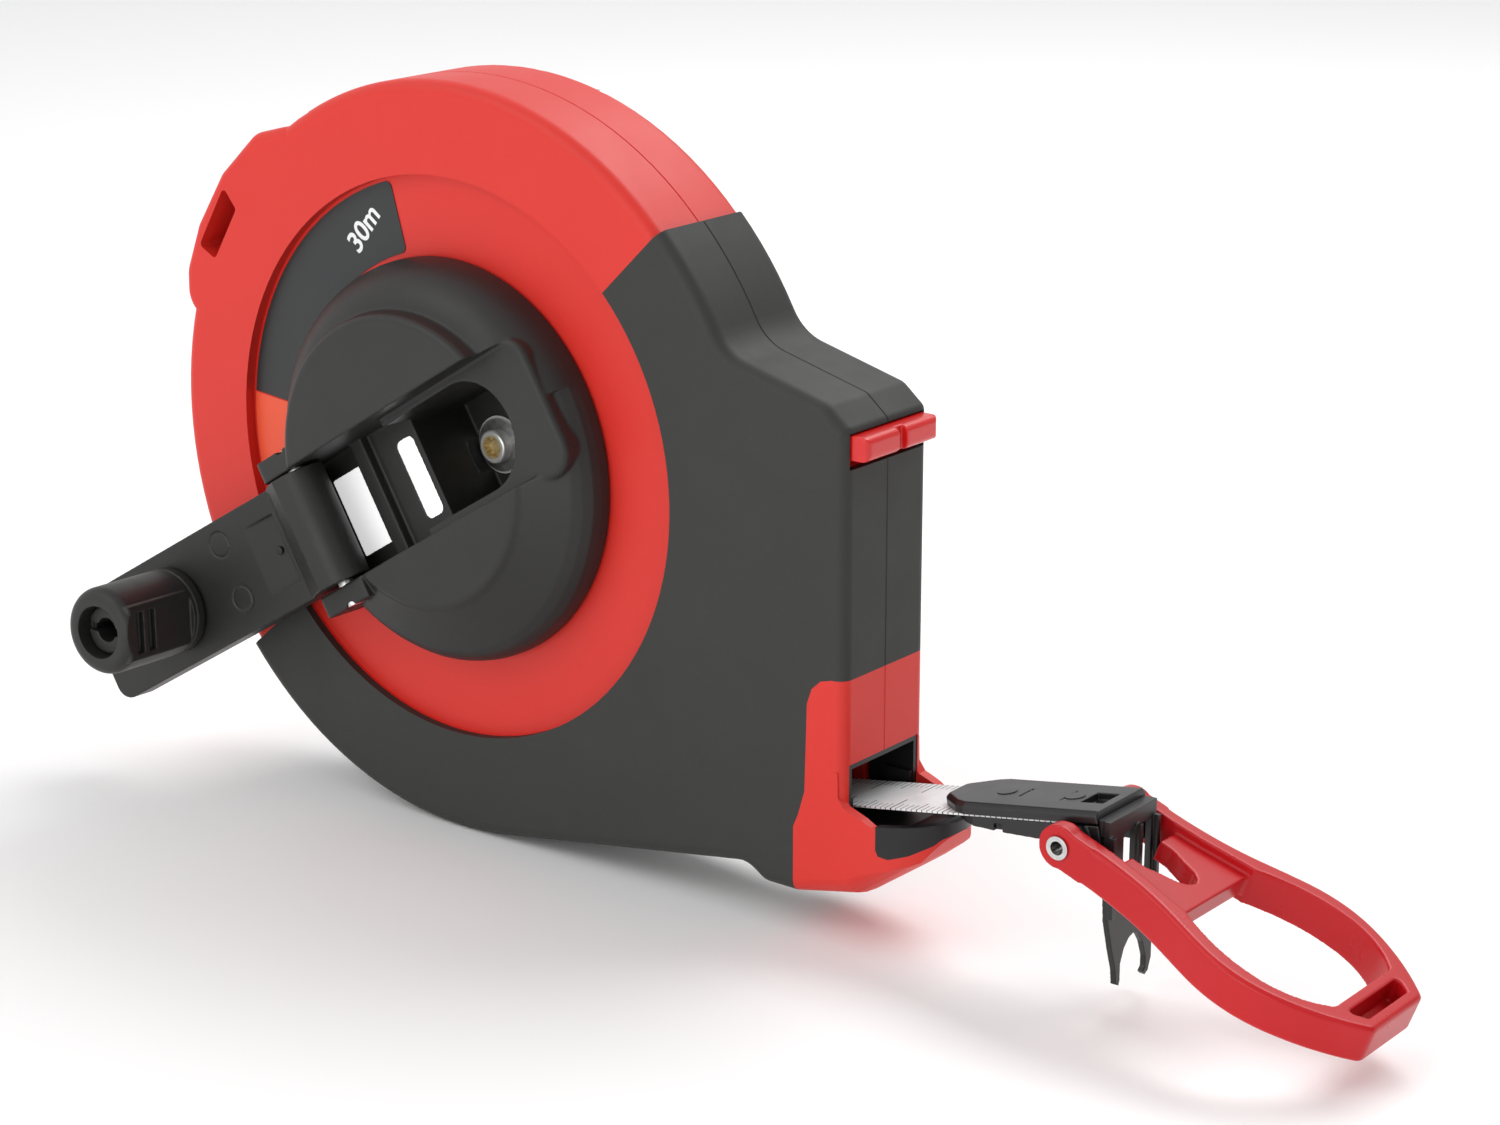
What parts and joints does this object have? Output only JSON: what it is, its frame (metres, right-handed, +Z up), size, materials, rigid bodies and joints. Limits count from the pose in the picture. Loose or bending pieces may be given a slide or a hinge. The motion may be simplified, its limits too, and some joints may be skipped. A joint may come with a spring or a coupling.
{
  "type": "long tape measure",
  "caption": "Closed-case long measuring tape in red and dark grey, with folding hand crank, lock button, claw hook and red pull ring.",
  "frame": {"origin": "point where the drum axis meets the flat back face of the case", "axes": "+X from the drum towards the nose and mouth, +Y out of the back face and away from the crank, +Z up when the tape stands on its belly"},
  "size_m": [0.2519, 0.0595, 0.1291],
  "materials": {
    "red_plastic": "satin moulded ABS, fine texture",
    "grip_rubber": "soft-touch overmould, fine matt texture",
    "liner_plastic": "satin moulded",
    "screw_steel": "bright zinc",
    "plated_screw": "yellow passivated, six-lobe socket",
    "label_film": "printed film, satin",
    "label_orange": "printed film, satin",
    "bearing_plastic": "natural acetal",
    "blade_paint": "white lacquer, matt, printed marks",
    "crank_plastic": "glass-filled nylon, fine spark texture",
    "white_plastic": "plain",
    "black_steel": "black oxide, semi-gloss",
    "pin_steel": "bright eyelet rim",
    "red_ring_plastic": "semi-gloss nylon",
    "red_button_plastic": "gloss",
    "brake_rubber": "plain"
  },
  "bodies": {
    "case": {"front_shell": "red_plastic", "back_shell": "red_plastic", "front_grip": "grip_rubber", "back_grip": "grip_rubber", "mouth_liner": "liner_plastic", "case_screws": "screw_steel", "label_sticker": "label_film", "label_end_band": "label_orange", "axle_post": "liner_plastic", "hub_washer": "screw_steel", "hub_screw": "plated_screw", "brake_anvil": "liner_plastic"},
    "drum": {"axle_bush": "bearing_plastic", "drum_core": "bearing_plastic", "front_flange": "bearing_plastic", "back_flange": "bearing_plastic", "blade_winding": "blade_paint", "crank_hub": "crank_plastic", "window_plates": "white_plastic", "crank_hinge_pin": "screw_steel"},
    "crank": {"crank_arm": "crank_plastic", "knob_stud": "crank_plastic"},
    "knob": {"crank_knob": "crank_plastic"},
    "blade": {"blade": "blade_paint", "hook_top_plate": "black_steel", "hook_body": "black_steel", "hook_claws": "black_steel", "hook_rivets": "black_steel", "ring_pin": "pin_steel"},
    "ring": {"pull_ring": "red_ring_plastic"},
    "lock": {"lock_button": "red_button_plastic", "lock_rod": "bearing_plastic", "brake_pad": "brake_rubber"}
  },
  "joints": [
    {"name": "drum_spin", "type": "hinge", "parent": "case", "child": "drum", "pos_m": [0, -0.011, 0], "axis": [0, -1, 0], "range_deg": [-16, 60]},
    {"name": "blade_slide", "type": "slide", "parent": "case", "child": "blade", "axis": [0.9851, 0, 0.1719], "range_m": [-0.016, 0.06]},
    {"name": "crank_fold", "type": "hinge", "parent": "drum", "child": "crank", "pos_m": [-0.0226, -0.0295, -0.01385], "axis": [-0.5225, 0, 0.8526], "range_deg": [0, 174]},
    {"name": "knob_spin", "type": "hinge", "parent": "crank", "child": "knob", "pos_m": [-0.05567, -0.03358, -0.03411], "axis": [0.0891, -0.9945, 0.0546], "continuous": true},
    {"name": "ring_swing", "type": "hinge", "parent": "blade", "child": "ring", "pos_m": [0.1223, -0.011, -0.0387], "axis": [0, 1, 0], "range_deg": [-122, 1]},
    {"name": "lock_slide", "type": "slide", "parent": "case", "child": "lock", "axis": [0, 0, 1], "range_m": [-0.0012, 0]}
  ],
  "couplings": [
    {"joint": "blade_slide", "follows": "drum_spin", "m_per_rad": 0.0565}
  ]
}
